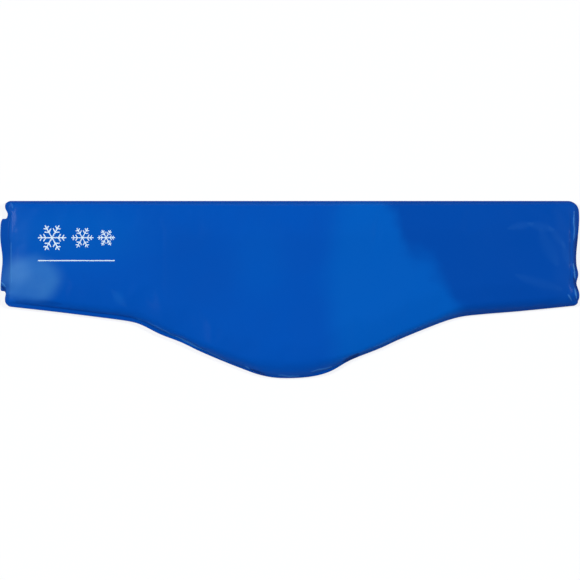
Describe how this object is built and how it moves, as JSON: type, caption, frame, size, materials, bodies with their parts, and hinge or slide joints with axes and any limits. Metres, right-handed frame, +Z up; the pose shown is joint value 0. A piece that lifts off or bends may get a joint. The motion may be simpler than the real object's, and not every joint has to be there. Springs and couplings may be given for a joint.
{
  "type": "neck cold pack",
  "caption": "Flat gel cold pack for the neck, with a straight upper edge, a rounded belly and tapering wings, welded from vinyl sheet.",
  "frame": {"origin": "on the table, under the middle of the pack's bounding box", "axes": "+X along the pack, away from the end with the filling port's seal; +Y towards the straight edge that goes round the neck; +Z up, out of the front sheet"},
  "size_m": [0.5848, 0.1798, 0.0184],
  "materials": {
    "vinyl": "soft blue vinyl with a satin gloss, a fine grain and a faint chalky haze",
    "gel": "wet, smooth blue gel"
  },
  "bodies": {
    "root": {"front_sheet": "vinyl", "back_sheet": "vinyl", "gel_fill": "gel"}
  },
  "joints": []
}
